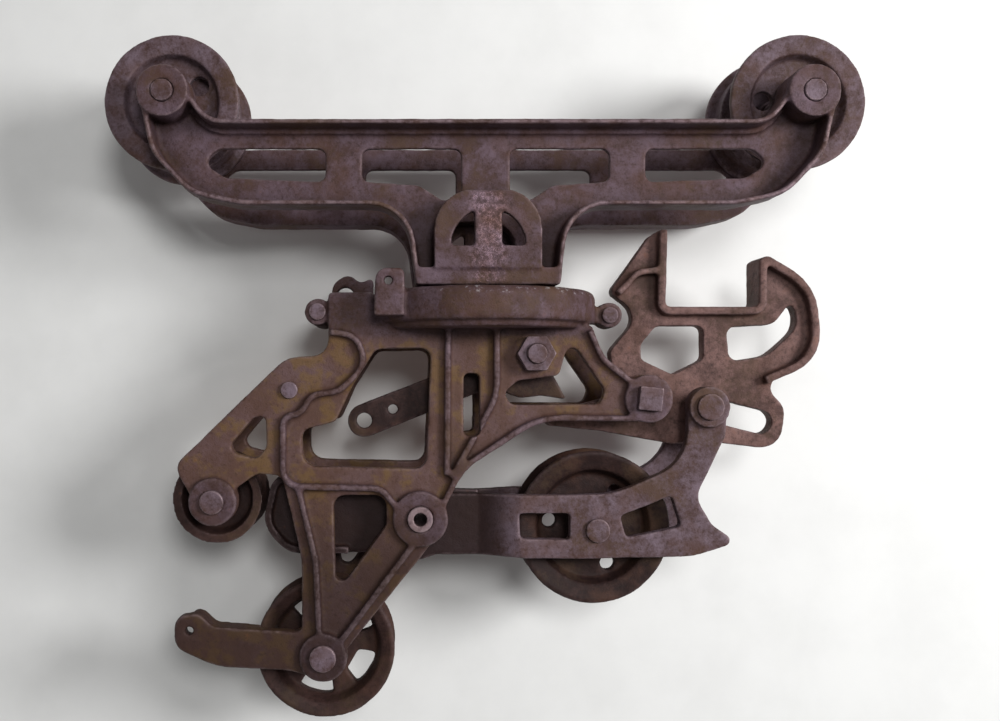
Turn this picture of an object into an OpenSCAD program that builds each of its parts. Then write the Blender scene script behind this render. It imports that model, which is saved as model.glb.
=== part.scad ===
// Hay trolley for an overhead barn track: a four wheel truck, a carriage that swivels under it,
// a stop hook, a trip lever, and a rope sheave arm that drives the hook through a slot.
// X runs along the track, Y across it, Z up. The origin is on the track, midway between the wheels.

/* [Track wheels] */
// Distance between the axles along the track
wheelbase = 522; // [490:1:560]
// Radius of the tread that rolls on the track
tread_r = 49; // [44:1:52]
// Radius of the outer flange
flange_r = 56; // [54:1:62]
// Thickness of the outer flange
flange_t = 9; // [6:0.5:12]
// Width of a wheel
wheel_w = 26; // [24:1:34]
// Free way for the track between the two wheels of a pair
track_way = 24; // [20:1:40]
// Radial thickness of the wheel rim
rim_t = 9; // [6:0.5:10]
// Thickness of the dished web
wheel_web = 8; // [6:0.5:12]
// Radius of the wheel hub
wheel_hub_r = 16; // [14:0.5:18]
// Number of lightening holes in the web
wheel_holes = 3; // [2:1:4]
// Radius of a lightening hole
wheel_hole_r = 8; // [5:0.5:9]
// Radius of the axle stud
axle_r = 9; // [7:0.5:11]

/* [Truck] */
// Thickness of the side plate web
truck_web = 7; // [6:0.5:10]
// How far the edge lips stand out past the web
truck_lip = 24; // [16:0.5:28]
// Thickness of the edge lips
lip_t = 4; // [3:0.5:6]
// Height of the crown moulding, lip included
crown_t = 8; // [7:0.5:12]
// How far the moulding under the lip stands out past the web
crown_step = 5; // [3:0.5:8]
// Height of the side plate's top edge above the track
truck_top = 27; // [20:1:32]
// Depth of the side plate's long lower edge below the track
truck_drop = 42; // [36:1:46]
// Half width of the foot
foot_w = 58; // [52:1:64]
// Radius of the axle boss
axle_boss_r = 21; // [19:0.5:24]
// How far the axle boss stands out past the lips
axle_boss_h = 3; // [1:0.5:8]
// Half width of the saddle arch
arch_w = 43; // [38:1:48]
// Radius of the two arch windows
arch_window_r = 30; // [24:1:33]
// Width of the bar between the arch windows
arch_bar = 22; // [16:1:28]
// How far the arch stands out past the web
arch_h = 27; // [20:0.5:30]
// Wall of the hollow arch
arch_wall = 9; // [7:0.5:10]
// Height of the band along the foot
foot_band = 13; // [8:0.5:16]
// How far the band stands out past the web
foot_band_h = 25; // [18:0.5:28]

/* [Swivel] */
// Depth of the cup's top below the track
cup_depth = 108; // [106:0.5:114]
// Outer radius of the cup
cup_r = 97; // [95:0.5:102]
// Wall of the cup
cup_wall = 9; // [7:0.5:11]
// Height of the cup
cup_h = 32; // [30:0.5:38]
// Height of the cup's rounded outer band
cup_band = 27; // [22:0.5:29]
// How far the cup's underside is set in from the band
cup_inset = 7; // [4:0.5:9]
// Thickness of the cup's upper lip
cup_lip = 8; // [6:0.5:10]
// Thickness of the cup's floor
cup_floor = 6; // [5:0.5:8]
// Radius of the rope hole in the floor
cup_hole_r = 22; // [16:0.5:28]
// Radius of the swivel neck
neck_r = 64; // [58:0.5:66]
// Thickness of the swivel disc
disc_t = 14; // [10:0.5:16]
// Half length of an ear lobe across the joint of the cup
ear_len = 13; // [10:0.5:16]
// Radius of the ear that carries a ring bolt
ear_r = 11; // [9:0.5:13]
// Distance of the ring bolts past the cup's outer radius
ear_out = 12; // [11:0.5:14]
// Radius of the ring bolts
ring_bolt_r = 5; // [4:0.5:6]

/* [Carriage] */
// Half of the inside distance between the side frames
frame_gap = 32; // [30:0.5:36]
// Thickness of a side frame
frame_t = 12; // [10:0.5:14]
// Height of the cast ribs
rib_h = 6; // [4:0.5:8]
// Width of the cast ribs
rib_w = 5; // [4:0.5:7]
// Place of the upper spacer
spacer_pin = [-139, -126]; // [-300:1:300]
// Middle of the column under the cup
column_x = -11; // [-14:0.5:-9]
// Radius of the upper spacer
spacer_r = 11; // [8:0.5:12]
// Thickness of the frame ear that carries the upper spacer
spacer_ear = 8; // [6:0.5:10]
// Place of the trip lever pivot
trip_pivot = [41, -161]; // [-300:1:300]
// Place of the stop hook pivot
hook_pivot = [134, -198]; // [-300:1:300]
// Place of the sheave arm pivot
arm_pivot = [-54, -297]; // [-300:1:300]
// Place of the brace rivet
brace_pin = [-162, -191]; // [-300:1:300]
// Radius of the brace spacer
brace_r = 10; // [8:0.5:12]
// Place of the guide roller
roller_pin = [-225, -283]; // [-450:1:300]
// Place of the lower sheave
sheave_pin = [-134, -411]; // [-450:1:300]
// Radius of the main pivot bosses
boss_r = 20; // [18:0.5:23]
// Radius of the sheave arm pivot boss
arm_boss_r = 23; // [20:0.5:25]
// Radius of the main bolts
bolt_r = 8; // [6:0.5:9]
// Outer radius of the hollow arm pivot
tube_r = 10.5; // [9:0.5:12]
// Bore of the hollow arm pivot
tube_bore_r = 5.5; // [4:0.5:7]
// Radius of the rope eye in the tail bar
eye_r = 3.5; // [2.5:0.5:5]

/* [Sheaves] */
// Radius of the sheave in the arm
arm_sheave_r = 65; // [60:0.5:67]
// Inner radius of the arm sheave's rim
arm_rim_r = 47; // [42:0.5:50]
// Distance of the arm sheave's holes from its axle
arm_hole_reach = 36; // [32:0.5:38]
// Radius of a lightening hole in the arm sheave
arm_hole_r = 6; // [4:0.5:7]
// Radius of the lower sheave
low_sheave_r = 59; // [57:0.5:62]
// Inner radius of the lower sheave's rim
low_rim_r = 45; // [42:0.5:46]
// Outer radius of the lower sheave's hub
low_hub_r = 28; // [24:0.5:30]
// Width of both sheaves
sheave_w = 40; // [34:0.5:44]
// Depth of the rope groove
groove_d = 9; // [7:0.5:11]
// Radius of the guide roller
roller_r = 38; // [34:0.5:39]
// Width of the guide roller
roller_w = 52; // [44:0.5:58]

/* [Sheave arm] */
// Thickness of an arm cheek
cheek_t = 12; // [10:0.5:14]
// Side clearance between the sheave and a cheek
cheek_clear = 5; // [3:0.5:7]
// Half of the distance between the cheeks at the arm pivot
neck_gap = 10; // [8:0.5:14]
// Place of the sheave axle
arm_sheave_pin = [94, -308]; // [-300:1:300]
// Place of the pin that runs in the hook's slot
slot_pin = [186, -205]; // [-300:1:300]
// Radius of the slot pin
slot_pin_r = 7; // [6:0.5:7.5]
// Radius of the slot pin boss
slot_boss_r = 17; // [15:0.5:20]

/* [Stop hook] */
// Half thickness of the hook's web
hook_web = 8; // [6:0.5:10]
// Half width of the hook's edge flanges
hook_flange = 18; // [14:0.5:22]
// Thickness of the hook's edge flanges
hook_flange_t = 7; // [5:0.5:9]
// Half width of the slot for the pin
slot_half = 10; // [9.5:0.5:11]
// Reach of the slot past the pin
slot_reach = 54; // [44:1:56]

/* [Trip lever] */
// Thickness of the trip lever
trip_t = 12; // [8:0.5:14]
// Front face of the trip lever behind the inside of the front frame
trip_set = 8; // [6:0.5:10]
// Place of the rope hole at the end of the trip lever
trip_end = [-101, -217]; // [-300:1:300]
// Radius of the rope hole
trip_hole_r = 6.5; // [4:0.5:8]
// Half width of the trip lever at its end
trip_half = 14; // [12:0.5:17]

/* [Fits] */
// Radial clearance of running fits and bolts in their holes
fit = 0.1; // [0.05:0.05:0.3]
// Side clearance of parts that turn
side = 0.4; // [0.3:0.1:0.8]

/* [Hidden] */
$fn = 48;

arc_step = 15;
axle_x = wheelbase / 2;
wheel_in = track_way / 2;
wheel_out = wheel_in + wheel_w;
plate_in = wheel_out + 1;
plate_out = plate_in + truck_web;
truck_lip_out = plate_out + truck_lip;
axle_boss_out = truck_lip_out + axle_boss_h;
foot_z = -cup_depth + 2;
arch_top = -truck_drop + 12;
arch_mid = arch_top - arch_w;
cup_top = -cup_depth;
cup_bottom = cup_top - cup_h;
cup_in = cup_r - cup_wall;
ear_x = cup_r + ear_out;
disc_top = cup_top - cup_lip - side;
disc_r = cup_in - 1.5;
frame_out = frame_gap + frame_t;
rib_out = frame_out + rib_h;
frame_top = cup_bottom + cup_floor / 2;
cheek_in = sheave_w / 2 + cheek_clear;
cheek_out = cheek_in + cheek_t;
head_t = 7;
rust = [0.27, 0.19, 0.16];
dark = [0.22, 0.15, 0.14];
bright = [0.33, 0.26, 0.25];

// A corner near a named place, with its fillet radius
function at(place, dx, dz, r = 0) = [place[0] + dx, place[1] + dz, r];
function flat(c) = [c[0], c[1]];
function unit(v) = v / norm(v);

// The points of one filleted corner between its two neighbours
function corner(a, p, b, r) = r <= 0 ? [p] :
  let (u = unit(a - p), v = unit(b - p), half = acos(u * v) / 2,
       reach = min(r / tan(half), norm(a - p) / 2, norm(b - p) / 2),
       radius = reach * tan(half), centre = p + unit(u + v) * radius / sin(half),
       from = p + u * reach - centre, to = p + v * reach - centre,
       start = atan2(from[1], from[0]), end = atan2(to[1], to[0]),
       sweep = (end - start + 540) % 360 - 180, steps = max(2, ceil(abs(sweep) / arc_step)))
  [for (i = [0:steps]) let (angle = start + sweep * i / steps) centre + radius * [cos(angle), sin(angle)]];

// A closed outline and an open path with filleted corners
function rounded(c) = let (n = len(c))
  [for (i = [0:n - 1]) each corner(flat(c[(i + n - 1) % n]), flat(c[i]), flat(c[(i + 1) % n]), c[i][2])];
function path(c) = let (n = len(c))
  [flat(c[0]), for (i = [1:n - 2]) each corner(flat(c[i - 1]), flat(c[i]), flat(c[i + 1]), c[i][2]),
   flat(c[n - 1])];

// A strip that follows a path, from offset low to offset high on its left
function left_of(p, i) = let (n = len(p),
    before = unit(p[max(i, 1)] - p[max(i - 1, 0)]), after = unit(p[min(i + 1, n - 1)] - p[min(i, n - 2)]),
    mean = unit(before + after)) [-mean[1], mean[0]] / max(0.5, mean * after);
function strip(p, low, high) = let (n = len(p))
  [for (i = [0:n - 1]) p[i] + low * left_of(p, i), for (i = [n - 1:-1:0]) p[i] + high * left_of(p, i)];

// An outline in the XZ plane as a plate from y0 to y1
module slab(points, y0, y1)
  translate([0, y1, 0]) rotate([90, 0, 0]) linear_extrude(y1 - y0) polygon(points);
// A round bar along Y at a named place
module bar(place, r, y0, y1)
  translate([place[0], y0, place[1]]) rotate([-90, 0, 0]) cylinder(r = r, h = y1 - y0);
module hexagon(place, r, y0, y1)
  translate([place[0], y0, place[1]]) rotate([-90, 0, 0]) cylinder(r = r, h = y1 - y0, $fn = 6);
// A bar with two riveted heads, with the shank between the outer faces of what it joins
module rivet(place, r, y_face, head_r) {
  bar(place, r, -y_face - 1, y_face + 1);
  for (s = [-1, 1]) bar(place, head_r, s < 0 ? -y_face - head_t / 2 : y_face,
    s < 0 ? -y_face : y_face + head_t / 2);
}
module back() mirror([0, 1, 0]) children();

// Truck side plate, drawn on the front side
truck_edge = [[axle_x + axle_boss_r - 1, tread_r, 0], [axle_x + 10, 0, 40],
  [axle_x - 22, -truck_drop + 8, 40], [axle_x - 62, -truck_drop, 60], [foot_w + 8, -truck_drop, 34],
  [foot_w, foot_z, 0]];
truck_crown = [[0, truck_top, 0], [axle_x - 36, truck_top, 22], [axle_x - axle_boss_r + 1, tread_r, 0]];
function flip(c) = [for (i = [len(c) - 1:-1:0]) [-c[i][0], c[i][1], c[i][2]]];
truck_outline = concat([for (i = [1:2]) truck_crown[i]], truck_edge, flip(truck_edge),
  [for (i = [2:-1:1]) [-truck_crown[i][0], truck_crown[i][1], truck_crown[i][2]]]);
window_top = truck_top - 19;
window_low = -truck_drop + 23;
outer_window = [[axle_x - 129, window_top, 6], [axle_x - 40, window_top, 12],
  [axle_x - 28, window_top - 12, 9], [axle_x - 46, window_low + 3, 14], [axle_x - 129, window_low, 6]];
inner_window = [[arch_bar - 2, window_top, 6], [axle_x - 159, window_top, 6],
  [axle_x - 159, window_low, 6], [arch_w + 12, window_low - 3, 12], [arch_w - 9, arch_top - 6, 10],
  [arch_bar - 2, arch_top + 2, 6]];
arch_low = foot_z + foot_band;
arch_outline = [[-arch_w, arch_low, 0], [-arch_w, arch_top, arch_w], [arch_w, arch_top, arch_w],
  [arch_w, arch_low, 0]];
hollow_w = arch_w - arch_wall;
hollow_top = arch_top - arch_wall;
arch_hollow = [[-hollow_w, arch_low + arch_wall, 4], [-hollow_w, hollow_top, hollow_w],
  [hollow_w, hollow_top, hollow_w], [hollow_w, arch_low + arch_wall, 4]];
foot_outline = [[-foot_w, foot_z], [foot_w, foot_z], [foot_w + 1, arch_low + 1],
  [-foot_w - 1, arch_low + 1]];
arch_floor = arch_mid - 2;

module truck_half() color(rust) difference() {
  union() {
    slab(rounded(truck_outline), -plate_out, -plate_in);
    for (flipped = [0, 1]) mirror([flipped, 0, 0]) {
      slab(strip(path(truck_edge), 0, -lip_t), -truck_lip_out, -plate_out + 1);
      slab(strip(path(truck_crown), 0, -lip_t), -truck_lip_out, -plate_out + 1);
      slab(strip(path(truck_crown), 0, -crown_t), -plate_out - crown_step, -plate_out + 1);
      bar([axle_x, tread_r], axle_boss_r, -axle_boss_out, -plate_in);
    }
    slab(rounded(arch_outline), -plate_out - arch_h, -plate_in - 1);
    slab(foot_outline, -plate_out - foot_band_h, -plate_in - 1);
  }
  slab(rounded(arch_hollow), -plate_out - arch_h + arch_wall, 0);
  for (flipped = [0, 1]) mirror([flipped, 0, 0]) {
    slab(rounded(outer_window), -plate_out - 1, -plate_in + 1);
    slab(rounded(inner_window), -plate_out - 1, -plate_in + 1);
    bar([axle_x, tread_r], axle_r + fit, -axle_boss_out - 1, 0);
    intersection() {
      bar([0, arch_floor], arch_window_r, -plate_out - arch_h - 1, 0);
      translate([arch_bar / 2, -plate_out - arch_h - 1, arch_floor]) cube([arch_w, arch_w * 2, arch_w]);
    }
  }
}
module truck_side_front() truck_half();
module truck_side_back() back() truck_half();

// Bridge, neck and disc that the carriage hangs on
bridge_t = 16;
module swivel_post() color(dark) union() {
  translate([-foot_w, -plate_in, foot_z]) cube([foot_w * 2, plate_in * 2, bridge_t]);
  translate([0, 0, disc_top - 1]) cylinder(r = neck_r, h = foot_z - disc_top + 1);
  translate([0, 0, foot_z - 1]) cylinder(r = plate_in - 2, h = 2);
  translate([0, 0, disc_top - disc_t]) cylinder(r = disc_r, h = disc_t);
}

// Axle studs, with a thin collar against the wheel
module axle(end, front) {
  module stud() color(bright) {
    bar([end * axle_x, tread_r], axle_r, -axle_boss_out - 1, -wheel_in + 2);
    bar([end * axle_x, tread_r], axle_r + 4, -wheel_in + side, -wheel_in + 4);
  }
  if (front) stud(); else back() stud();
}
module axle_front_left() axle(-1, true);
module axle_front_right() axle(1, true);
module axle_back_left() axle(-1, false);
module axle_back_right() axle(1, false);

// Track wheel: a plain tread with an outer flange, a dished web and a hub
web_y = wheel_in + wheel_w / 2 - wheel_web / 2;
module wheel(end, front) {
  module disc() color(rust) difference() {
    translate([end * axle_x, 0, tread_r]) rotate([90, 0, 0]) rotate_extrude() polygon([
      [axle_r + fit, wheel_in], [wheel_hub_r, wheel_in], [wheel_hub_r, web_y], [tread_r - rim_t, web_y],
      [tread_r - rim_t, wheel_in], [tread_r, wheel_in], [tread_r, wheel_out - flange_t],
      [flange_r, wheel_out - flange_t + 2], [flange_r, wheel_out], [tread_r - rim_t, wheel_out],
      [tread_r - rim_t - 3, web_y + wheel_web], [wheel_hub_r, web_y + wheel_web], [wheel_hub_r, wheel_out],
      [axle_r + fit, wheel_out]]);
    hole_reach = (wheel_hub_r + tread_r - rim_t - 3) / 2;
    for (i = [0:wheel_holes - 1]) let (angle = (end < 0 ? 36 : 173) + i * 360 / wheel_holes)
      bar([end * axle_x + hole_reach * cos(angle), tread_r + hole_reach * sin(angle)], wheel_hole_r,
        -wheel_out, -wheel_in);
  }
  if (front) disc(); else back() disc();
}
module wheel_front_left() wheel(-1, true);
module wheel_front_right() wheel(1, true);
module wheel_back_left() wheel(-1, false);
module wheel_back_right() wheel(1, false);

// Side frame of the carriage, drawn on the front side
eye_pin = at(sheave_pin, -111, 21);
frame_outline = [at(spacer_pin, 9, 16, 3), at(spacer_pin, 46, 16, 3),
  at(spacer_pin, 58, frame_top - spacer_pin[1], 3), [cup_r - 9, frame_top, 4], at(hook_pivot, -36, 34, 18),
  at(hook_pivot, -12, boss_r - 5, 6), at(hook_pivot, 0, boss_r - 3), at(hook_pivot, 0, -boss_r + 1),
  at(hook_pivot, -90, -18, 60), at(arm_pivot, 36, 40, 40), at(arm_pivot, arm_boss_r - 4, 6),
  at(arm_pivot, arm_boss_r - 7, -13), at(sheave_pin, 19, 5), at(sheave_pin, 0, -boss_r + 1),
  at(sheave_pin, -boss_r + 2, 0), at(sheave_pin, -18, 80, 70), at(arm_pivot, -114, 35, 8),
  at(roller_pin, 36, 23, 9),
  at(roller_pin, 15, 8), at(roller_pin, 0, -boss_r + 2), at(roller_pin, -boss_r + 3, 0),
  at(roller_pin, -33, 29, 12), at(brace_pin, -3, 27, 24), at(spacer_pin, 9, -36, 14)];
tail_outline = [at(sheave_pin, 0, -boss_r + 1), at(sheave_pin, -30, -12, 12), at(sheave_pin, -88, -9, 50),
  at(eye_pin, -13, -14, 14), at(eye_pin, -12, 12, 11), at(eye_pin, 8, 14, 8), at(eye_pin, 20, 3, 12),
  at(sheave_pin, -22, 20, 4), at(sheave_pin, 0, 30)];
tail_flange_w = 11;
tail_flange = [at(eye_pin, 0, 13), at(eye_pin, 8, 14, 8), at(eye_pin, 20, 3, 12), at(sheave_pin, -54, 21)];
left_window = [at(trip_end, 10, 60, 8), at(arm_pivot, 9, 141, 8), at(arm_pivot, 5, 41, 10),
  at(arm_pivot, -97, 43, 12), at(arm_pivot, -98, 73, 8), at(arm_pivot, -70, 80, 5),
  at(arm_pivot, -56, 110, 20)];
roller_window = [at(roller_pin, 14, 47, 5), at(roller_pin, 33, 69, 5), at(roller_pin, 43, 71, 5),
  at(roller_pin, 44, 45, 6), at(roller_pin, 36, 35, 6), at(roller_pin, 17, 40, 4)];
right_window = [at(trip_pivot, 20, -18, 5), at(trip_pivot, 26, 4, 6), at(trip_pivot, 34, 5, 6),
  at(trip_pivot, 58, -30, 8), at(trip_pivot, 54, -42, 7), at(trip_pivot, -20, -42, 7),
  at(trip_pivot, -26, -32, 6), at(trip_pivot, -14, -22, 6)];
slot_top = frame_top - 40;
column_slot = [[column_x - 7, slot_top, 4], [column_x + 6, slot_top, 4], [column_x + 6, slot_top - 52, 4],
  [column_x - 7, slot_top - 52, 4]];
low_window = [at(arm_pivot, -72, 19, 9), at(arm_pivot, -28, 19, 9), at(arm_pivot, -28, -6, 6),
  at(arm_pivot, -62, -52, 5), at(arm_pivot, -70, -50, 4)];
scroll_rib = [at(spacer_pin, 11, -17), at(spacer_pin, 32, -20, 16), at(spacer_pin, 41, -44, 22),
  at(spacer_pin, 18, -66, 20), at(brace_pin, 18, -4, 14), at(brace_pin, 10, -19, 12),
  at(arm_pivot, -113, 84, 12), at(arm_pivot, -113, 27, 14), at(arm_pivot, -32, 25, 14),
  at(arm_pivot, -20, 10)];
column_left = [[column_x - 20, frame_top - 4], at(arm_pivot, 22, 36)];
column_right = [[column_x + 20, frame_top - 4], [column_x + 20, slot_top - 19, 40], at(arm_pivot, 26, 34)];
arch_rib = [at(hook_pivot, -10, -boss_r + 1), at(hook_pivot, -90, -18, 60), at(arm_pivot, 36, 40, 40),
  at(arm_pivot, arm_boss_r - 4, 6)];
shoulder_rib = [[cup_r - 9, frame_top - 4], at(hook_pivot, -36, 34, 18), at(hook_pivot, -12, boss_r - 5)];
leg_rib = [at(arm_pivot, -100, 24), at(sheave_pin, -6, 80, 60), at(sheave_pin, -3, 12)];
brace_rib = [at(arm_pivot, -5, -20), at(sheave_pin, 15, 14)];

cup_inner = cup_r - cup_inset;
cup_profile = [[cup_hole_r, cup_bottom, 0], [cup_inner, cup_bottom, 2], [cup_inner, cup_top - cup_band, 1],
  [cup_r, cup_top - cup_band, 9], [cup_r, cup_top, 7], [neck_r + 1.5, cup_top, 0],
  [neck_r + 1.5, cup_top - cup_lip, 0], [cup_in, cup_top - cup_lip, 0],
  [cup_in, cup_bottom + cup_floor, 0], [cup_hole_r, cup_bottom + cup_floor, 0]];
module cup_half() rotate([0, 0, 180]) rotate_extrude(angle = 180) polygon(rounded(cup_profile));

module rib(points, low = -0.5, high = 0.5)
  slab(strip(path(points), low * rib_w, high * rib_w), -rib_out, -frame_out + 1);

ear_z = cup_top - cup_h * 0.6;
lug_y = cup_r - 27;
lug_half = 5;
lug_pin = [-cup_r + 17, cup_top + 5];
lug_low = cup_top - cup_band + 4;
lug_right = lug_pin[0] + 13;
lug_root = sqrt(cup_in * cup_in - lug_right * lug_right) + 1;
root_outline = [[-cup_r + 6, lug_low], [lug_right, lug_low], [lug_right, cup_top - 3],
  [-cup_r + 6, cup_top - 3]];
lug_outline = [[-cup_r + 6, lug_low, 0], at(lug_pin, -11, -8, 6), at(lug_pin, -10, 10, 11),
  [lug_right, lug_pin[1] + 10, 5], [lug_right, lug_low, 0]];
guard_outline = [at(spacer_pin, 6, 8), at(spacer_pin, 7, 30, 14), at(spacer_pin, 22, 40, 9),
  at(spacer_pin, 32, 30, 8), at(spacer_pin, 44, 36, 3), at(spacer_pin, 45, 8)];
guard_eye = flat(at(spacer_pin, 19, 19));
guard_eye_r = 8;
module frame_half() color(rust) difference() {
  union() {
    slab(rounded(frame_outline), -frame_out, -frame_gap);
    cup_half();
    for (s = [-1, 1]) {
      bar([s * ear_x, ear_z], ear_r, -ear_len, 0);
      translate([s > 0 ? cup_in + 2 : -ear_x, -ear_len, ear_z - 7]) cube([ear_x - cup_in - 2, ear_len, 14]);
    }
    for (rib_path = [scroll_rib, column_left, column_right, leg_rib, brace_rib]) rib(rib_path);
    rib(arch_rib, -1, 0);
    rib(shoulder_rib, -1, 0);
    bar(hook_pivot, boss_r, -rib_out, -frame_gap);
    bar(arm_pivot, arm_boss_r, -rib_out, -frame_gap);
    bar(roller_pin, boss_r, -rib_out, -frame_gap);
    bar(sheave_pin, boss_r, -rib_out, -frame_gap);
    bar(trip_pivot, boss_r - 2, -frame_out - 1, -frame_gap);
    bar(spacer_pin, spacer_r, -frame_gap - spacer_ear, -frame_gap);
  }
  slab(rounded(left_window), -rib_out - 1, -frame_gap + 1);
  slab(rounded(roller_window), -rib_out - 1, -frame_gap + 1);
  difference() {
    slab(rounded(right_window), -rib_out - 1, -frame_gap + 1);
    bar(trip_pivot, boss_r - 2, -rib_out - 2, 0);
  }
  slab(rounded(column_slot), -rib_out - 1, -frame_gap + 1);
  slab(rounded(low_window), -rib_out - 1, -frame_gap + 1);
  for (pin = [hook_pivot, roller_pin, sheave_pin, trip_pivot]) bar(pin, bolt_r + fit, -rib_out - 1, 0);
  bar(arm_pivot, tube_r + fit, -rib_out - 1, 0);
  for (pin = [spacer_pin, brace_pin]) bar(pin, ring_bolt_r + fit, -rib_out - 1, 0);
  for (s = [-1, 1]) bar([s * ear_x, ear_z], ring_bolt_r + fit, -ear_len - 1, 1);
}
// The front frame also carries a lug for a lock pin beside the cup, and a tail with an eye
module frame_front() color(rust) difference() {
  union() {
    frame_half();
    slab(rounded(lug_outline), -lug_y - lug_half, -lug_y + lug_half);
    slab(root_outline, -lug_y - lug_half, -lug_root);
    slab(rounded(tail_outline), -frame_out, -frame_gap);
    slab(strip(path(tail_flange), 0, -6), -frame_out, -frame_gap + tail_flange_w);
  }
  bar(lug_pin, eye_r, -lug_y - lug_half - 1, -lug_y + lug_half + 1);
  bar(eye_pin, eye_r, -frame_out - 1, 0);
  bar(sheave_pin, bolt_r + fit, -rib_out - 1, 0);
}
// The back frame has a guard with an eye on its upper corner
module frame_back() color(rust) back() difference() {
  union() {
    frame_half();
    slab(rounded(guard_outline), -frame_out, -frame_gap);
  }
  bar(guard_eye, guard_eye_r, -frame_out - 1, -frame_gap + 1);
}

// Fasteners and spacers of the carriage
module ring_bolts() color(bright) for (s = [-1, 1]) rivet([s * ear_x, ear_z], ring_bolt_r, ear_len,
  ring_bolt_r + 2);
module sleeve(place, r, bore) color(dark) difference() {
  bar(place, r, -frame_gap, frame_gap);
  bar(place, bore + fit, -frame_gap - 1, frame_gap + 1);
}
module upper_spacer() sleeve(spacer_pin, spacer_r, ring_bolt_r);
module upper_spacer_bolt() color(bright) rivet(spacer_pin, ring_bolt_r, frame_gap + spacer_ear,
  ring_bolt_r + 2);
module brace_spacer() sleeve(brace_pin, brace_r, ring_bolt_r);
module brace_rivet() color(bright) rivet(brace_pin, ring_bolt_r, frame_out, ring_bolt_r + 2);
module trip_bolt() color(bright) {
  bar(trip_pivot, bolt_r, -frame_out - head_t * 2 - 3, frame_out + 1);
  hexagon(trip_pivot, bolt_r * 2, frame_out + 1, frame_out + head_t);
}
module trip_nut() color(bright) difference() {
  hexagon(trip_pivot, bolt_r * 2, -frame_out - head_t * 2 + 1, -frame_out - 1);
  bar(trip_pivot, bolt_r + fit, -rib_out * 2, 0);
}
module hook_bolt() color(bright) {
  bar(hook_pivot, bolt_r, -rib_out - 1, rib_out + head_t * 2);
  translate([hook_pivot[0], -rib_out - head_t / 2, hook_pivot[1]]) rotate([0, 6, 0])
    cube([bolt_r * 2.4, head_t, bolt_r * 2.4], center = true);
}
module hook_nut() color(bright) difference() {
  hexagon(hook_pivot, bolt_r * 1.8, rib_out, rib_out + head_t + 3);
  bar(hook_pivot, bolt_r + fit, 0, rib_out * 2);
}
module arm_pivot_tube() color(bright) difference() {
  bar(arm_pivot, tube_r, -rib_out - 3, rib_out + 3);
  bar(arm_pivot, tube_bore_r, -rib_out - 4, rib_out + 4);
}
module roller_axle() color(bright) rivet(roller_pin, bolt_r, rib_out, bolt_r + 2);
module sheave_axle() color(bright) rivet(sheave_pin, bolt_r, rib_out, bolt_r + 3);

// Grooved sheave, with its windows cut by the caller
sheave_web = 5;
module sheave(place, r, rim_r, hub_half) translate([place[0], 0, place[1]]) rotate([90, 0,
  0]) rotate_extrude()
  polygon([[bolt_r + fit, -hub_half], [bolt_r + 9, -hub_half], [bolt_r + 9, -sheave_web],
    [rim_r - 2, -sheave_web],
    [rim_r + 2, -sheave_w / 2 + 4], [r - 3, -sheave_w / 2], [r, -sheave_w / 2 + 1], [r, -sheave_w / 2 + 4],
    [r - groove_d, -5], [r - groove_d, 5], [r, sheave_w / 2 - 4], [r, sheave_w / 2 - 1],
    [r - 3, sheave_w / 2],
    [rim_r + 2, sheave_w / 2 - 4], [rim_r - 2, sheave_web], [bolt_r + 9, sheave_web],
    [bolt_r + 9, hub_half],
    [bolt_r + fit, hub_half]]);
function polar(place, r, angle, fillet) = at(place, r * cos(angle), r * sin(angle), fillet);
spokes = 5;
spoke_turn = 41;
window_span = 21;
module lower_sheave() color(dark) difference() {
  sheave(sheave_pin, low_sheave_r, low_rim_r, frame_gap - side);
  for (i = [0:spokes - 1]) let (a = spoke_turn + i * 360 / spokes, outer = low_rim_r - 2.5)
    slab(rounded([polar(sheave_pin, low_hub_r, a - window_span, 2),
      polar(sheave_pin, outer, a - window_span, 2),
      polar(sheave_pin, outer / cos(window_span / 2), a - window_span / 2, outer),
      polar(sheave_pin, outer / cos(window_span / 2), a + window_span / 2, outer),
      polar(sheave_pin, outer, a + window_span, 2), polar(sheave_pin, low_hub_r, a + window_span, 2)]),
      -sheave_w, sheave_w);
}
module arm_sheave() color(dark) difference() {
  sheave(arm_sheave_pin, arm_sheave_r, arm_rim_r, cheek_in - side);
  for (a = [-66, 54, 174]) bar(flat(polar(arm_sheave_pin, arm_hole_reach, a, 0)), arm_hole_r, -sheave_w,
    sheave_w);
}
module guide_roller() color(dark) translate([roller_pin[0], 0, roller_pin[1]]) rotate([90, 0, 0])
  rotate_extrude() polygon([[bolt_r + fit, -frame_gap + side], [bolt_r + 9, -frame_gap + side],
    [bolt_r + 9, -12], [roller_r - 11, -12], [roller_r - 8, -roller_w / 2], [roller_r, -roller_w / 2],
    [roller_r - 5, -roller_w / 6], [roller_r - 5, roller_w / 6], [roller_r, roller_w / 2],
    [roller_r - 8, roller_w / 2],
    [roller_r - 11, 12], [bolt_r + 9, 12], [bolt_r + 9, frame_gap - side],
    [bolt_r + fit, frame_gap - side]]);

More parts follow.
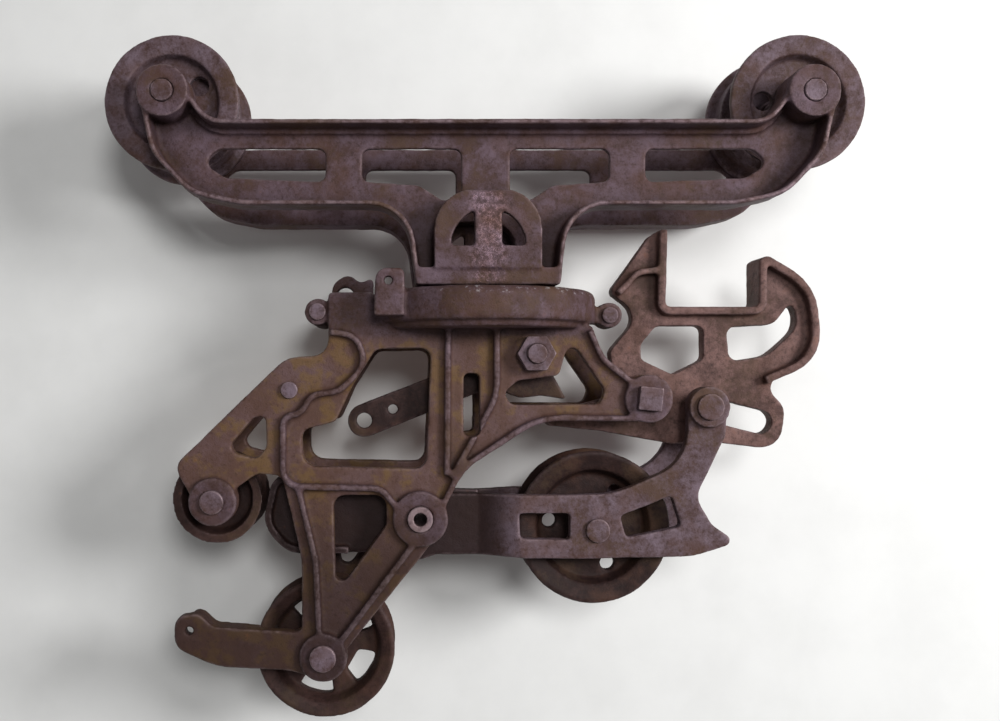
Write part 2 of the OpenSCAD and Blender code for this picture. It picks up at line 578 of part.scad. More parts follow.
// Sheave arm cheek, drawn on the front side: the neck lies deep, and slopes out to the cheek
neck_out = neck_gap + cheek_t;
ramp_low = arm_pivot[0] + 50;
ramp_high = arm_pivot[0] + 84;
ramp_in = arm_sheave_pin[0] - arm_sheave_r - cheek_clear;
arm_end = slot_pin[0] + arm_sheave_r;
arm_depth = [[arm_pivot[0] + 40, -neck_gap], [ramp_low - 6, -neck_gap], [ramp_in, -cheek_in],
  [arm_end, -cheek_in], [arm_end, -cheek_out], [ramp_high, -cheek_out], [ramp_low, -neck_out],
  [arm_pivot[0] + 40, -neck_out]];
neck_outline = [at(arm_pivot, 52, 18), at(arm_pivot, 52, -34), at(arm_pivot, 14, -34, 12),
  at(arm_pivot, 0, -39, 10), at(arm_pivot, -24, -32, 12), at(arm_pivot, -112, -32, 24),
  at(arm_pivot, -133, -8, 24), at(arm_pivot, -124, 34, 14), at(arm_pivot, -92, 34, 10),
  at(arm_pivot, -60, 20, 14)];
tail_rim = [at(arm_pivot, -60, -32), at(arm_pivot, -112, -32, 24), at(arm_pivot, -133, -8, 24),
  at(arm_pivot, -124, 34, 14), at(arm_pivot, -96, 34)];
cheek_outline = [at(arm_pivot, 46, 18), at(arm_sheave_pin, 14, 30, 70), at(slot_pin, -18, -46, 40),
  at(slot_pin, -slot_boss_r + 1, 0), at(slot_pin, slot_boss_r - 1, 0), at(slot_pin, 15, -24, 10),
  at(slot_pin, -10, -76, 16), at(arm_sheave_pin, 96, 4, 16), at(arm_sheave_pin, 117, -10, 5),
  at(arm_sheave_pin, 80, -22, 60), at(arm_sheave_pin, -20, -24, 60), at(arm_pivot, 46, -34)];
near_window = [at(arm_sheave_pin, -65, 14, 2), at(arm_sheave_pin, -23, 14, 2),
  at(arm_sheave_pin, -23, -8, 2), at(arm_sheave_pin, -64, -7, 2)];
far_window = [at(arm_sheave_pin, 19, 12, 3), at(arm_sheave_pin, 62, 29, 3), at(arm_sheave_pin, 70, 3, 3),
  at(arm_sheave_pin, 24, -6, 3)];
module cheek_half() color(rust) difference() {
  union() {
    slab(rounded(neck_outline), -neck_out, -neck_gap);
    slab(strip(path(tail_rim), 0, -6), -neck_out - 6, -neck_out + 1);
    intersection() {
      slab(rounded(cheek_outline), -cheek_out, -neck_gap);
      translate([0, 0, arm_pivot[1] - arm_sheave_r])
        linear_extrude(height = arm_sheave_r * 4) polygon(arm_depth);
    }
    bar(slot_pin, slot_boss_r, -cheek_out - 6, -cheek_in);
    bar(arm_pivot, tube_r + 6, -frame_gap + side, -neck_gap + 1);
  }
  slab(rounded(near_window), -cheek_out - 1, -cheek_in + 1);
  slab(rounded(far_window), -cheek_out - 1, -cheek_in + 1);
  bar(arm_pivot, tube_r + fit, -frame_gap - 1, 0);
  bar(arm_sheave_pin, bolt_r + fit, -cheek_out - 1, 0);
  bar(slot_pin, slot_pin_r + fit, -cheek_out - 7, 0);
}
module arm_cheek_front() cheek_half();
module arm_cheek_back() back() cheek_half();
module arm_sheave_axle() color(bright) rivet(arm_sheave_pin, bolt_r, cheek_out, bolt_r + 2);
module slot_bolt() color(bright) {
  bar(slot_pin, slot_pin_r, -cheek_out - 7, cheek_out + 6 + head_t * 2);
  bar(slot_pin, slot_pin_r + 4, -cheek_out - 10, -cheek_out - 6);
}
module slot_nut() color(bright) difference() {
  hexagon(slot_pin, slot_pin_r * 1.8, cheek_out + 6, cheek_out + 6 + head_t + 2);
  bar(slot_pin, slot_pin_r + fit, 0, cheek_out * 2);
}

// Stop hook: a web with edge flanges, a notch that catches the stop on the track, and a slotted tail
slot_end = at(slot_pin, slot_reach, -slot_reach * 0.26);
hook_outline = [at(hook_pivot, 11, 140, 5), at(hook_pivot, 24, 144, 3), at(hook_pivot, 22, 78, 4),
  at(hook_pivot, 102, 78, 5), at(hook_pivot, 102, 118, 4), at(hook_pivot, 109, 122, 8),
  at(hook_pivot, 151, 97, 45), at(hook_pivot, 156, 32, 45), at(hook_pivot, 108, 12, 14),
  at(slot_end, 22, 12, 16), at(slot_end, 17, -24, 22), at(slot_pin, 8, -31, 30),
  at(hook_pivot, 30, -40, 12), at(hook_pivot, -30, -29, 12), at(hook_pivot, -80, -24, 4),
  at(hook_pivot, -76, -13, 4), at(hook_pivot, -18, 2, 10), at(hook_pivot, -24, 40, 8),
  at([ear_x, ear_z], 27, 0, 18), at(hook_pivot, -24, 91, 5)];
notch_rim = [at(hook_pivot, 24, 144), at(hook_pivot, 22, 78, 4), at(hook_pivot, 102, 78, 5),
  at(hook_pivot, 102, 118)];
horn_rim = [at(hook_pivot, 104, 119), at(hook_pivot, 109, 122, 8), at(hook_pivot, 151, 97, 45),
  at(hook_pivot, 156, 32, 45), at(hook_pivot, 109, 12)];
prong_rib = [at(hook_pivot, 19, 112), at(hook_pivot, -2, 110, 14), at(hook_pivot, -20, 91)];
hook_window = [at(hook_pivot, 3, 46, 7), at(hook_pivot, 16, 62, 8), at(hook_pivot, 57, 62, 6),
  at(hook_pivot, 57, 33, 6), at(hook_pivot, 31, 20, 5), at(hook_pivot, 3, 33, 5)];
horn_window = [at(hook_pivot, 77, 61, 7), at(hook_pivot, 118, 63, 14), at(hook_pivot, 133, 84, 4),
  at(hook_pivot, 140, 62, 18), at(hook_pivot, 112, 36, 24), at(hook_pivot, 79, 31, 8)];
module hook_rim(points, low, high) slab(strip(path(points), low, high), -hook_flange, hook_flange);
module stop_hook() color(rust) difference() {
  union() {
    slab(rounded(hook_outline), -hook_web, hook_web);
    hook_rim(notch_rim, 0, -hook_flange_t);
    hook_rim(horn_rim, 0, -hook_flange_t);
    hook_rim(prong_rib, 0, rib_w);
    bar(hook_pivot, boss_r - 2, -frame_gap + side, frame_gap - side);
  }
  slab(rounded(hook_window), -hook_flange, hook_flange);
  slab(rounded(horn_window), -hook_web - 1, hook_web + 1);
  bar(hook_pivot, bolt_r + fit, -frame_gap, frame_gap);
  bar(slot_pin, slot_half, -hook_flange, hook_flange);
  bar(slot_end, slot_half, -hook_flange, hook_flange);
  slab(strip([flat(slot_pin), flat(slot_end)], -slot_half, slot_half), -hook_flange, hook_flange);
}

// Trip lever: a long rope arm and a short hooked dog on one hub
trip_front = -frame_gap + trip_set;
trip_way = unit(trip_end - trip_pivot);
trip_across = [-trip_way[1], trip_way[0]];
second_hole = trip_end - 26 * trip_way;
dog_outline = [at(trip_pivot, -8, -4), at(trip_pivot, -18, -22, 5), at(trip_pivot, -24, -32, 4),
  at(trip_pivot, -10, -37, 5), at(trip_pivot, 8, -35, 8), at(trip_pivot, 29, -38, 1),
  at(trip_pivot, 15, -12, 4), at(trip_pivot, 8, 0)];
arm_sides = [trip_pivot + 13 * trip_across, trip_end + trip_half * trip_across,
  trip_end - trip_half * trip_across, trip_pivot - 13 * trip_across];
module trip_lever() color(dark) difference() {
  union() {
    slab(arm_sides, trip_front, trip_front + trip_t);
    bar(trip_end, trip_half, trip_front, trip_front + trip_t);
    slab(rounded(dog_outline), trip_front, trip_front + trip_t);
    bar(trip_pivot, boss_r - 5, -frame_gap + side, frame_gap - side);
  }
  bar(trip_end, trip_hole_r, trip_front - 1, trip_front + trip_t + 1);
  bar(second_hole, trip_hole_r * 0.65, trip_front - 1, trip_front + trip_t + 1);
  bar(trip_pivot, bolt_r + fit, -frame_gap, frame_gap);
}

truck_side_front();
truck_side_back();
swivel_post();
axle_front_left();
axle_front_right();
axle_back_left();
axle_back_right();
wheel_front_left();
wheel_front_right();
wheel_back_left();
wheel_back_right();
frame_front();
frame_back();
ring_bolts();
upper_spacer();
upper_spacer_bolt();
trip_bolt();
trip_nut();
hook_bolt();
hook_nut();
arm_pivot_tube();
brace_rivet();
brace_spacer();
roller_axle();
guide_roller();
sheave_axle();
lower_sheave();
arm_cheek_front();
arm_cheek_back();
arm_sheave_axle();
slot_bolt();
slot_nut();
arm_sheave();
stop_hook();
trip_lever();
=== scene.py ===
"""Hay trolley of rusty cast iron: finishes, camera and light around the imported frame."""

import math

import bpy
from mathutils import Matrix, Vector


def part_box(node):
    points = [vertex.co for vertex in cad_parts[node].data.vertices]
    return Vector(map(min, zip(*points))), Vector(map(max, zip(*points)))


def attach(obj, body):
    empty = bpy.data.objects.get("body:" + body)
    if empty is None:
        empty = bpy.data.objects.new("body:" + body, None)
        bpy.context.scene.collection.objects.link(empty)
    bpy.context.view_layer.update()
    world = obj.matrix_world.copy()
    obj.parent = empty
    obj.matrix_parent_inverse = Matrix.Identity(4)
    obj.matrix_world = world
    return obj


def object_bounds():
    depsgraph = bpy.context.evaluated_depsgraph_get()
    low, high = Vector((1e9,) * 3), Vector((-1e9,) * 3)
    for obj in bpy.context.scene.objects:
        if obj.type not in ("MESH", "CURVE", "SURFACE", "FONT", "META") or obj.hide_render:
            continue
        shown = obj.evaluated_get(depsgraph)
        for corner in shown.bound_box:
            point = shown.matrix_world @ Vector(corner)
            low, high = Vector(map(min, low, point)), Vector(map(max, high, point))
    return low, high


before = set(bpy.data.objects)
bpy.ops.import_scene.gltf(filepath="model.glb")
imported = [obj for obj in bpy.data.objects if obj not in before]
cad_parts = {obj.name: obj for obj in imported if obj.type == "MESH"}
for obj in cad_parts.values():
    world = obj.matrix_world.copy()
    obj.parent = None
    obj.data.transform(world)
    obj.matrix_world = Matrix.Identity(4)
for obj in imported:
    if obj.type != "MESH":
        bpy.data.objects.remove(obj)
cad_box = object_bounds()
MM = 0.001

# Camera

CAMERA_PLACE = Vector((-69, -870, -181)) * MM
PICTURE_WIDTH, PICTURE_HEIGHT = 1000, 721
LOOKED_AT = (402, 378)
SENSOR = 36
FOCAL_PIXELS = 1000


def make_camera():
    """A camera square to the side castings, shifted so that the trolley sits where the picture has it."""
    data = bpy.data.cameras.new("camera")
    data.sensor_width = SENSOR
    data.lens = SENSOR * FOCAL_PIXELS / PICTURE_WIDTH
    data.shift_x = (PICTURE_WIDTH / 2 - LOOKED_AT[0]) / PICTURE_WIDTH
    data.shift_y = (LOOKED_AT[1] - PICTURE_HEIGHT / 2) / PICTURE_WIDTH
    camera = bpy.data.objects.new("camera", data)
    camera.location = CAMERA_PLACE
    camera.rotation_euler = (math.pi / 2, 0, 0)
    bpy.context.scene.collection.objects.link(camera)
    bpy.context.scene.camera = camera


make_camera()

# Shader maths


class Socket:
    """A node's output in Python arithmetic: each operator adds a Math node."""

    def __init__(self, finish, output):
        self.finish = finish
        self.output = output

    def maths(self, operation, first, second):
        return self.finish.node("ShaderNodeMath", {"operation": operation}, {0: first, 1: second})

    def __add__(self, other):
        return self.maths("ADD", self, other)

    def __sub__(self, other):
        return self.maths("SUBTRACT", self, other)

    def __rsub__(self, other):
        return self.maths("SUBTRACT", other, self)

    def __mul__(self, other):
        return self.maths("MULTIPLY", self, other)

    __radd__ = __add__
    __rmul__ = __mul__

    def __abs__(self):
        return self.maths("ABSOLUTE", self, 0)

    def larger(self, other):
        return self.maths("MAXIMUM", self, other)


class Finish:
    """A material, or the world, whose nodes are added one by one."""

    def __init__(self, owner):
        owner.use_nodes = True
        self.owner = owner
        self.tree = owner.node_tree
        self.tree.nodes.clear()

    def node(self, kind, settings=None, inputs=None, output=0):
        """Adds a node with its settings, then the values or links of its sockets, and returns one output."""
        made = self.tree.nodes.new(kind)
        for name, value in (settings or {}).items():
            setattr(made, name, value)
        for key, value in (inputs or {}).items():
            if isinstance(value, Socket):
                self.tree.links.new(value.output, made.inputs[key])
            else:
                made.inputs[key].default_value = value
        return Socket(self, made.outputs[output]) if made.outputs else None

    def ramp(self, value, low, high):
        """0 up to low, 1 from high, with a soft step between."""
        settings = {"interpolation_type": "SMOOTHSTEP"}
        return self.node("ShaderNodeMapRange", settings, {"Value": value, "From Min": low, "From Max": high})

    def noise(self, size, detail, rough):
        """Noise from 0 to 1 whose features are about size across, in metres."""
        inputs = {"Vector": self.place(), "Scale": 1 / size, "Detail": detail, "Roughness": rough}
        return self.node("ShaderNodeTexNoise", {}, inputs)

    def mix(self, share, first, second):
        """The first colour, with a share of the second over it."""
        settings = {"data_type": "RGBA", "clamp_factor": True}
        colours = {6: rgba(first), 7: rgba(second)}
        return self.node("ShaderNodeMix", settings, {0: share, **colours}, output=2)

    def place(self):
        """The place on the piece, in metres."""
        return self.node("ShaderNodeTexCoord", output="Object")

    def axis(self, letter):
        """One coordinate of the place on the piece."""
        return self.node("ShaderNodeSeparateXYZ", {}, {0: self.place()}, output=letter)


def rgba(colour):
    return colour if isinstance(colour, Socket) else (*colour[:3], 1.0)


# Finishes, in linear colour

MAUVE = (0.108, 0.073, 0.092)
GREY_MAUVE = (0.138, 0.101, 0.124)
BROWN = (0.050, 0.027, 0.024)
RED_BROWN = (0.172, 0.098, 0.088)
CHESTNUT = (0.074, 0.036, 0.025)
# Umber, which in sheltered corners and towards the arm's neck is also painted shade
UMBER = (0.017, 0.009, 0.0085)
# Soot, which in the hollows is also painted shade
SOOT_AND_SHADE = (0.008, 0.006, 0.006)
RUSSET = (0.104, 0.055, 0.040)
OCHRE = (0.122, 0.071, 0.024)
TAN = (0.098, 0.060, 0.036)
ORANGE = (0.135, 0.052, 0.022)
# Pale dust, which on rubbed edges is also a painted highlight
DUST = (0.215, 0.158, 0.165)
BARE_IRON = (0.560, 0.540, 0.540)

# Marks on the iron, from broad to fine, and how much of each goes into a pattern
MARKS = {
    "stain": {"size": 50 * MM, "detail": 4.0, "rough": 0.55},
    "warmth": {"size": 34 * MM, "detail": 5.0, "rough": 0.60},
    "patch": {"size": 13 * MM, "detail": 5.0, "rough": 0.60},
    "speck": {"size": 3.4 * MM, "detail": 4.0, "rough": 0.65},
    "grain": {"size": 1.3 * MM, "detail": 3.0, "rough": 0.65},
}
MOTTLE = {"stain": 0.34, "patch": 0.32, "speck": 0.20, "grain": 0.14}
TAN_PATTERN = {"stain": 0.75, "speck": 0.25}
OCHRE_PATTERN = {"warmth": 0.5, "patch": 0.5}
RUB_PATTERN = {"patch": 0.55, "speck": 0.45}
SCUFF_PATTERN = {"patch": 0.5, "speck": 0.5}
RELIEF = {"grain": 0.45, "speck": 0.45, "patch": 0.55}

# Where hollows and edges start and are full, by pointiness, which is 0.5 on a flat face and more on an edge
HOLLOW = (0.492, 0.446)
EDGE = (0.512, 0.556)
SCUFFED_EDGE = (0.506, 0.525)

# Shares of open air within reach, at which the dirt and painted shade of sheltered corners start and are full
SHELTER_REACH = 22 * MM
SHELTER = (0.92, 0.40)

# How far tone and shares shift the steps of their patterns
TONE_SHIFT = 0.3
OCHRE_SHIFT = 0.2
RUST_SHIFT = 0.25

# Soft borders of the panels, the scuffs and the polished strip
PANEL_LIP = (3.5 * MM, 1.5 * MM)
PANEL_FADE = 8 * MM
SCUFF_BAND = (6 * MM, 3 * MM)
SCUFF_FADE = 0.9
STRIP_CORE = 0.3
STRIP_FADE = 12 * MM

# Strengths of the layers
CHESTNUT_SHARE = 0.42
RUSSET_SHARE = 0.48
RUST_SHARE = 0.45
HOLLOW_RUST = 0.50
SHELTER_DIRT_AND_SHADE = 0.62
HOLLOW_SOOT_AND_SHADE = 0.55
PIT_SOOT = 0.28
SCUFF_SHARE = 0.80
STRIP_SHINE = 0.80

# The skin under the layers
RELIEF_STRENGTH = 0.75
RELIEF_HEIGHT = 0.9 * MM
SKIN_ROUGHNESS = 0.54
STAIN_GLOSS = 0.14
BRIGHT_GLOSS = 0.26
SPECK_ROUGHNESS = 0.12
BRIGHT_METAL = 0.70
SKIN_SPECULAR = 0.08


class Iron(Finish):
    """Rusty sand cast iron, coloured in layers over marks of several sizes."""

    def __init__(self, name):
        super().__init__(bpy.data.materials.new(name))
        self.marks = {mark: self.noise(**values) for mark, values in MARKS.items()}
        self.pointed = self.node("ShaderNodeNewGeometry", output="Pointiness")
        self.hollow = self.ramp(self.pointed, *HOLLOW)
        self.colour = None
        self.bright = None

    def pattern(self, weights):
        """A weighted sum of marks."""
        parts = [self.marks[mark] * weight for mark, weight in weights.items()]
        return sum(parts[1:], parts[0])

    def cover(self, colour, where, share=None):
        """Lays a colour, or a share of it, over the layers so far."""
        self.colour = self.mix(where if share is None else where * share, self.colour, colour)

    def skin(self, light, base, tone, tan):
        """The mottled skin, from base to light as tone grows, with chestnut stains and some tan patches."""
        shift = tone * TONE_SHIFT
        self.colour = self.mix(self.ramp(self.pattern(MOTTLE), 0.56 - shift, 0.80 - shift), base, light)
        self.cover(CHESTNUT, self.ramp(self.marks["warmth"], low=0.46, high=0.66), CHESTNUT_SHARE)
        self.cover(TAN, self.ramp(self.pattern(TAN_PATTERN), low=0.48, high=0.36), tan)

    def panel(self, share, depth, top):
        """Russet and a share of ochre on the sunk faces, at a depth from the middle plane and below a top."""
        start, full = PANEL_LIP
        sunk = self.ramp(abs(self.axis("Y")), depth + start, depth + full)
        sunk = sunk * self.ramp(self.axis("Z"), top, top - PANEL_FADE)
        shift = share * OCHRE_SHIFT
        patches = self.ramp(self.pattern(OCHRE_PATTERN), 0.60 - shift, 0.70 - shift)
        self.cover(RUSSET, sunk, RUSSET_SHARE)
        self.cover(OCHRE, sunk * patches, share)

    def darken_along(self, axis, light_end, dark_end, share):
        """Umber darkening that grows along an axis, from a lighter place to a darker one; on the arm's neck
        it is painted shade.
        """
        self.cover(UMBER, self.ramp(self.axis(axis), light_end, dark_end), share)

    def rust(self, share):
        """Orange rust in the hollows and in a share of the patches, broken up by specks."""
        shift = share * RUST_SHIFT
        patches = self.ramp(self.marks["patch"], 0.72 - shift, 0.86 - shift)
        rusty = (self.hollow * HOLLOW_RUST + patches) * self.ramp(self.marks["speck"], low=0.35, high=0.62)
        self.cover(ORANGE, rusty, RUST_SHARE)

    def dirt_and_painted_shade(self):
        """Dirt and painted shade in sheltered corners, soot and painted shade in hollows, and soot in pits.
        """
        settings = {"samples": 8, "only_local": True}
        open_air = self.node("ShaderNodeAmbientOcclusion", settings, {"Distance": SHELTER_REACH}, output="AO")
        # Painted shade, with some dirt: umber where little open air is within reach
        self.cover(UMBER, self.ramp(open_air, *SHELTER), SHELTER_DIRT_AND_SHADE)
        pits = self.ramp(self.marks["speck"], low=0.46, high=0.32)
        # Painted shade, with some soot, in the hollows, and plain soot in the pits
        self.cover(SOOT_AND_SHADE, self.hollow * HOLLOW_SOOT_AND_SHADE + pits * PIT_SOOT)

    def edge_wear_and_highlight(self, share):
        """Pale dust and a shine on edges that are rubbed; the pale dust is also a painted highlight along the
        edges.
        """
        rubbed = self.ramp(self.pattern(RUB_PATTERN), low=0.36, high=0.60)
        self.bright = self.ramp(self.pointed, *EDGE) * rubbed * share
        # Painted highlight, with real dust: pale colour along the rubbed edges
        self.cover(DUST, self.bright)

    def scuffs(self, height, reach):
        """Bare scuffs along an edge at a height, as far as a reach to each side."""
        near = self.ramp(abs(self.axis("Z") - height), *SCUFF_BAND)
        near = near * self.ramp(abs(self.axis("X")), reach, reach * SCUFF_FADE)
        scraped = self.ramp(self.pattern(SCUFF_PATTERN), low=0.56, high=0.62)
        scuff = near * self.ramp(self.pointed, *SCUFFED_EDGE) * scraped
        self.cover(BARE_IRON, scuff, SCUFF_SHARE)
        self.bright = self.bright.larger(scuff)

    def polish(self, half_width, top):
        """A strip below a top that hands have rubbed smooth."""
        strip = self.ramp(abs(self.axis("X")), half_width, half_width * STRIP_CORE)
        strip = strip * self.ramp(self.axis("Z"), top, top - STRIP_FADE)
        smooth = self.ramp(self.marks["speck"], low=0.40, high=0.60)
        self.bright = self.bright.larger(strip * smooth * STRIP_SHINE)

    def surface(self):
        """The shader: a grainy skin, smoother and more metallic where it is bright."""
        bump = self.node("ShaderNodeBump", {}, {
            "Strength": RELIEF_STRENGTH,
            "Distance": RELIEF_HEIGHT,
            "Height": self.pattern(RELIEF),
        })
        rough = SKIN_ROUGHNESS - self.marks["stain"] * STAIN_GLOSS + self.marks["speck"] * SPECK_ROUGHNESS
        shader = self.node("ShaderNodeBsdfPrincipled", {}, {
            "Base Color": self.colour,
            "Roughness": rough - self.bright * BRIGHT_GLOSS,
            "Metallic": self.bright * BRIGHT_METAL,
            "Specular IOR Level": SKIN_SPECULAR,
            "Normal": bump,
        })
        self.node("ShaderNodeOutputMaterial", {}, {"Surface": shader})


def cast_iron(name, tone, rust, edge_wear_and_highlight, light=MAUVE, base=BROWN, tan=0.3,
              panel=None, darken_along=None, scuffs=None, polish=None):
    """A finish of cast iron. The methods of Iron say what the values mean, and the last four are extras."""
    iron = Iron(name)
    iron.skin(light, base, tone, tan)
    if panel:
        iron.panel(*panel)
    if darken_along:
        iron.darken_along(*darken_along)
    iron.rust(rust)
    iron.dirt_and_painted_shade()
    iron.edge_wear_and_highlight(edge_wear_and_highlight)
    if scuffs:
        iron.scuffs(*scuffs)
    if polish:
        iron.polish(*polish)
    iron.surface()
    return iron.owner


# Castings and fasteners

WELD_GAP = 0.01 * MM


def cast(name, finish, grid, rounds, dents):
    """Gives a node the soft edges and uneven faces of a casting, and its finish. The grid is in mm."""
    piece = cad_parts[name]
    piece.data.materials.clear()
    piece.data.materials.append(finish)
    weld = piece.modifiers.new("one_skin", "WELD")
    weld.merge_threshold = WELD_GAP
    even = piece.modifiers.new("even_faces", "REMESH")
    even.mode = "VOXEL"
    even.voxel_size = grid * MM
    even.use_smooth_shade = True
    soft = piece.modifiers.new("soft_edges", "SMOOTH")
    soft.factor = 0.5
    soft.iterations = rounds
    for size, height in dents:
        uneven = piece.modifiers.new("uneven_skin", "DISPLACE")
        uneven.texture = clouds(size)
        uneven.texture_coords = "LOCAL"
        uneven.mid_level = 0.5
        uneven.strength = height * MM


def clouds(size):
    """A cloud texture with features of one size in mm, shared by all pieces that use it."""
    name = f"clouds_{size}mm"
    texture = bpy.data.textures.get(name) or bpy.data.textures.new(name, "CLOUDS")
    texture.noise_scale = size * MM
    texture.noise_depth = 2
    return texture


ENDS = ("front_left", "front_right", "back_left", "back_right")
SIDES = ("front", "back")
ring_low, ring_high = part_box("ring_bolts")
RING_MIDDLE = (ring_low[2] + ring_high[2]) / 2
RING_EDGE_RISE = 17 * MM
RING_REACH = 98 * MM
PANEL_SHARE = 0.60
PANEL_DEPTH = 44 * MM
PANEL_DROP = 16 * MM
PANEL = (PANEL_SHARE, PANEL_DEPTH, RING_MIDDLE - PANEL_DROP)
RING_SCUFFS = (RING_MIDDLE + RING_EDGE_RISE, RING_REACH)
ARCH_BAR_HALF = 24 * MM
ARCH_BAR_TOP = -20 * MM
# The carriage grows darker towards the bottom of the leg
LEG_DARKENING = ("Z", -260 * MM, -350 * MM, 0.66)
# Painted shade: the arm grows darker towards its neck, which the frame shades
ARM_PAINTED_SHADE = ("X", 32 * MM, 2 * MM, 0.95)

truck_iron = cast_iron("truck_iron", tone=0.51, rust=0.15, edge_wear_and_highlight=0.46, tan=0.32,
                       polish=(ARCH_BAR_HALF, ARCH_BAR_TOP))
wheel_iron = cast_iron("wheel_iron", tone=0.52, rust=0.10, edge_wear_and_highlight=0.40, light=GREY_MAUVE)
carriage_iron = cast_iron("carriage_iron", tone=0.46, rust=0.35, edge_wear_and_highlight=0.40,
                          panel=PANEL, darken_along=LEG_DARKENING, scuffs=RING_SCUFFS)
arm_iron = cast_iron("arm_iron", tone=0.55, rust=0.12, edge_wear_and_highlight=0.46, light=GREY_MAUVE, darken_along=ARM_PAINTED_SHADE)
hook_iron = cast_iron("hook_iron", tone=0.60, rust=0.45, edge_wear_and_highlight=0.40, light=RED_BROWN)
sheave_iron = cast_iron("sheave_iron", tone=0.64, rust=0.25, edge_wear_and_highlight=0.25, light=BROWN, base=UMBER)
# A darker copy of the iron, partly painted shade, for the arm sheave that the arm shades and for small parts
# set behind others
shaded_dark_iron = cast_iron("shaded_dark_iron", tone=0.32, rust=0.15, edge_wear_and_highlight=0.30, light=BROWN, base=UMBER)
fastener_iron = cast_iron("fastener_iron", tone=0.58, rust=0.15, edge_wear_and_highlight=0.70, light=GREY_MAUVE)
tube_iron = cast_iron("tube_iron", tone=0.70, rust=0.10, edge_wear_and_highlight=0.80, light=DUST, base=MAUVE)

# Dents as pairs of their size and height, in mm
LARGE_DENTS = ((22, 0.9), (6, 0.35))
SMALL_DENTS = ((8, 0.30),)
FASTENERS = (
    "ring_bolts", "upper_spacer_bolt", "trip_bolt", "trip_nut", "hook_bolt", "hook_nut", "brace_rivet",
    "roller_axle", "sheave_axle", "arm_sheave_axle", "slot_bolt", "slot_nut",
)
for side in SIDES:
    cast(f"truck_side_{side}", truck_iron, grid=1.3, rounds=9, dents=LARGE_DENTS)
    cast(f"frame_{side}", carriage_iron, grid=1.4, rounds=8, dents=LARGE_DENTS)
    cast(f"arm_cheek_{side}", arm_iron, grid=1.3, rounds=8, dents=LARGE_DENTS)
for end in ENDS:
    cast(f"wheel_{end}", wheel_iron, grid=1.2, rounds=7, dents=LARGE_DENTS)
    cast(f"axle_{end}", fastener_iron, grid=1.0, rounds=4, dents=SMALL_DENTS)
cast("stop_hook", hook_iron, grid=1.3, rounds=8, dents=LARGE_DENTS)
cast("swivel_post", shaded_dark_iron, grid=2.0, rounds=6, dents=LARGE_DENTS)
for name in ("lower_sheave", "guide_roller"):
    cast(name, sheave_iron, grid=1.3, rounds=6, dents=LARGE_DENTS)
for name in ("trip_lever", "arm_sheave"):
    cast(name, shaded_dark_iron, grid=1.3, rounds=6, dents=LARGE_DENTS)
for name in ("upper_spacer", "brace_spacer"):
    cast(name, shaded_dark_iron, grid=1.2, rounds=5, dents=SMALL_DENTS)
for name in FASTENERS:
    cast(name, fastener_iron, grid=0.8, rounds=4, dents=SMALL_DENTS)
cast("arm_pivot_tube", tube_iron, grid=0.7, rounds=3, dents=SMALL_DENTS)

# Screw threads on the bare ends of the bolts

THREAD_PITCH = 2.2 * MM
THREAD_DEPTH = 0.8 * MM
THREAD_SUNK = 0.1 * MM
THREAD_HALF_FOOT = 0.405
THREAD_STEPS = 28
THREAD_RUN_OUT = 8


def thread(name, bolt, nut, radius, body):
    """A helical ridge on the end of a bolt that stands out past its nut, running along Y.

    Its foot is sunk into the bolt, its width is in pitches, and it runs out over some steps at both ends."""
    bolt_low, bolt_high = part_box(bolt)
    nut_low, nut_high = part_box(nut)
    front = nut_low[1] < 0
    start, end = (bolt_low[1], nut_low[1]) if front else (nut_high[1], bolt_high[1])
    middle = ((nut_low[0] + nut_high[0]) / 2, (nut_low[2] + nut_high[2]) / 2)
    rise = end - start - THREAD_PITCH
    steps = round(rise / THREAD_PITCH * THREAD_STEPS)
    ridge = ((-THREAD_SUNK, -THREAD_HALF_FOOT), (THREAD_DEPTH, 0.0), (-THREAD_SUNK, THREAD_HALF_FOOT))
    points = []
    for i in range(steps + 1):
        turn = math.tau * i / THREAD_STEPS
        taper = min(1.0, i / THREAD_RUN_OUT, (steps - i) / THREAD_RUN_OUT)
        for out, along in ridge:
            reach = radius + out * taper
            y = start + (i / THREAD_STEPS + 0.5 + along) * THREAD_PITCH
            points.append((middle[0] + reach * math.cos(turn), y, middle[1] + reach * math.sin(turn)))
    faces = [(0, 1, 2), (3 * steps + 2, 3 * steps + 1, 3 * steps)]
    for i in range(steps):
        for a, b in ((0, 1), (1, 2), (2, 0)):
            faces.append((3 * i + b, 3 * i + a, 3 * i + 3 + a, 3 * i + 3 + b))
    mesh = bpy.data.meshes.new(name)
    mesh.from_pydata(points, [], faces)
    mesh.materials.append(fastener_iron)
    piece = bpy.data.objects.new(name, mesh)
    bpy.context.scene.collection.objects.link(piece)
    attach(piece, body)


BOLT_RADIUS = 8 * MM
SLOT_BOLT_RADIUS = 7 * MM
thread("trip_bolt_thread", "trip_bolt", "trip_nut", BOLT_RADIUS, "carriage")
thread("hook_bolt_thread", "hook_bolt", "hook_nut", BOLT_RADIUS, "carriage")
thread("slot_bolt_thread", "slot_bolt", "slot_nut", SLOT_BOLT_RADIUS, "sheave_arm")

# Stage and light

FLOOR_GAP = 1 * MM
FLOOR_BEHIND = cad_box[1][1] + FLOOR_GAP
FLOOR_SIZE = 6.0
FLOOR_COLOUR = (0.70, 0.70, 0.69)
FLOOR_STAIN = (0.53, 0.53, 0.52)
FLOOR_STAIN_SHARE = 0.25
FLOOR_MARKS = {"size": 0.10, "detail": 6.0, "rough": 0.6}
AMBIENT = 0.22
BACKGROUND = 0.86
SIDE_LAMP = {"place": Vector((1.45, -1.30, 0.20)), "size": 0.7, "power": 40}
FRONT_LAMP = {"place": Vector((0.25, -2.00, 0.30)), "size": 0.5, "power": 18}
BACK_LAMP = {"place": Vector((-0.07, 2.00, -0.10)), "size": 1.0, "power": 50, "glints": False}
AIM = Vector((0.0, 0.0, -0.20))


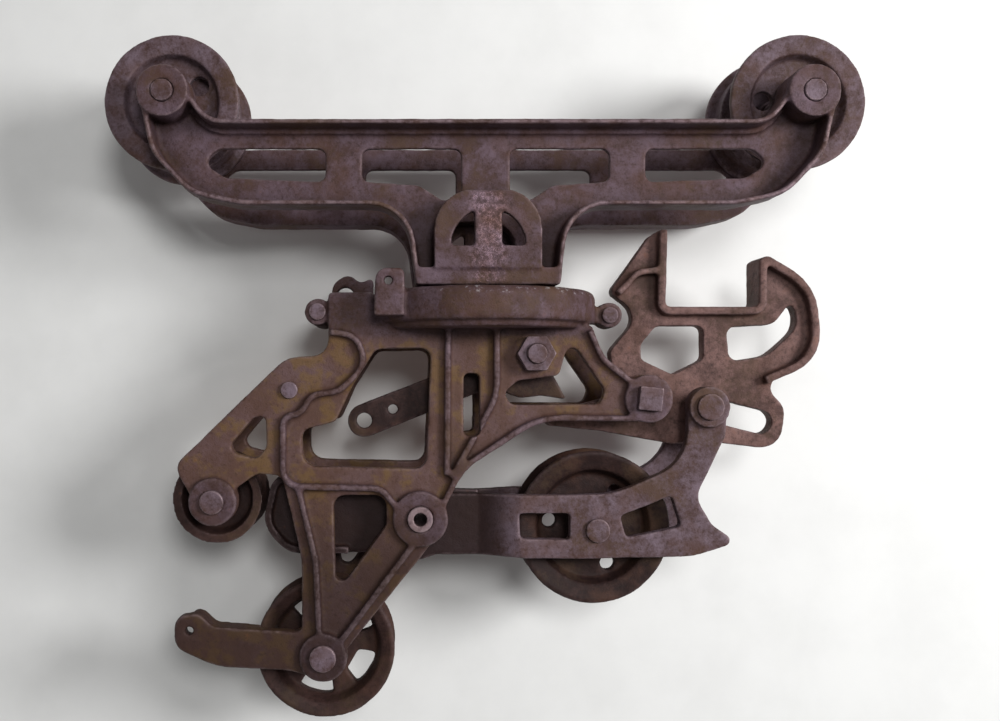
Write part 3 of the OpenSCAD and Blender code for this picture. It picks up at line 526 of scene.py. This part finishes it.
def make_floor():
    """A pale floor under the far side of the trolley, clear from behind so that the back can be seen."""
    mesh = bpy.data.meshes.new("floor")
    half = FLOOR_SIZE / 2
    corners = [(x, FLOOR_BEHIND, z) for x, z in ((-half, -half), (half, -half), (half, half), (-half, half))]
    mesh.from_pydata(corners, [], [(0, 1, 2, 3)])
    floor = bpy.data.objects.new("floor", mesh)
    bpy.context.scene.collection.objects.link(floor)
    stone = Finish(bpy.data.materials.new("floor_stone"))
    stained = stone.ramp(stone.noise(**FLOOR_MARKS), 0.35, 0.70)
    colour = stone.mix(stained * FLOOR_STAIN_SHARE, FLOOR_COLOUR, FLOOR_STAIN)
    solid = stone.node("ShaderNodeBsdfPrincipled", {}, {"Base Color": colour, "Roughness": 0.85})
    clear = stone.node("ShaderNodeBsdfTransparent")
    behind = stone.node("ShaderNodeNewGeometry", output="Backfacing")
    shadow = stone.node("ShaderNodeLightPath", output="Is Shadow Ray")
    seen = stone.node("ShaderNodeMixShader", {}, {0: behind.larger(shadow), 1: solid, 2: clear})
    stone.node("ShaderNodeOutputMaterial", {}, {"Surface": seen})
    mesh.materials.append(stone.owner)


def make_lamp(name, place, size, power, glints=True):
    """A round soft lamp that looks at the middle of the trolley, and may leave no glints."""
    data = bpy.data.lights.new(name, "AREA")
    data.shape = "DISK"
    data.size = size
    data.energy = power
    lamp = bpy.data.objects.new(name, data)
    lamp.location = place
    lamp.visible_glossy = glints
    lamp.rotation_euler = (AIM - place).to_track_quat("-Z", "Y").to_euler()
    bpy.context.scene.collection.objects.link(lamp)


def make_surround():
    """An even pale surround, lighter where it is seen than where it lights the trolley."""
    world = bpy.data.worlds.new("surround")
    bpy.context.scene.world = world
    air = Finish(world)
    rays = ("Is Camera Ray", "Is Glossy Ray", "Is Transmission Ray")
    camera, glossy, through = [air.node("ShaderNodeLightPath", output=ray) for ray in rays]
    level = AMBIENT + camera.larger(glossy).larger(through) * (BACKGROUND - AMBIENT)
    shade = air.node("ShaderNodeBackground", {}, {"Color": (1, 1, 1, 1), "Strength": level})
    air.node("ShaderNodeOutputWorld", {}, {"Surface": shade})


make_floor()
make_lamp("side_lamp", **SIDE_LAMP)
make_lamp("front_lamp", **FRONT_LAMP)
make_lamp("back_lamp", **BACK_LAMP)
make_surround()
bpy.context.scene.view_settings.view_transform = "Standard"
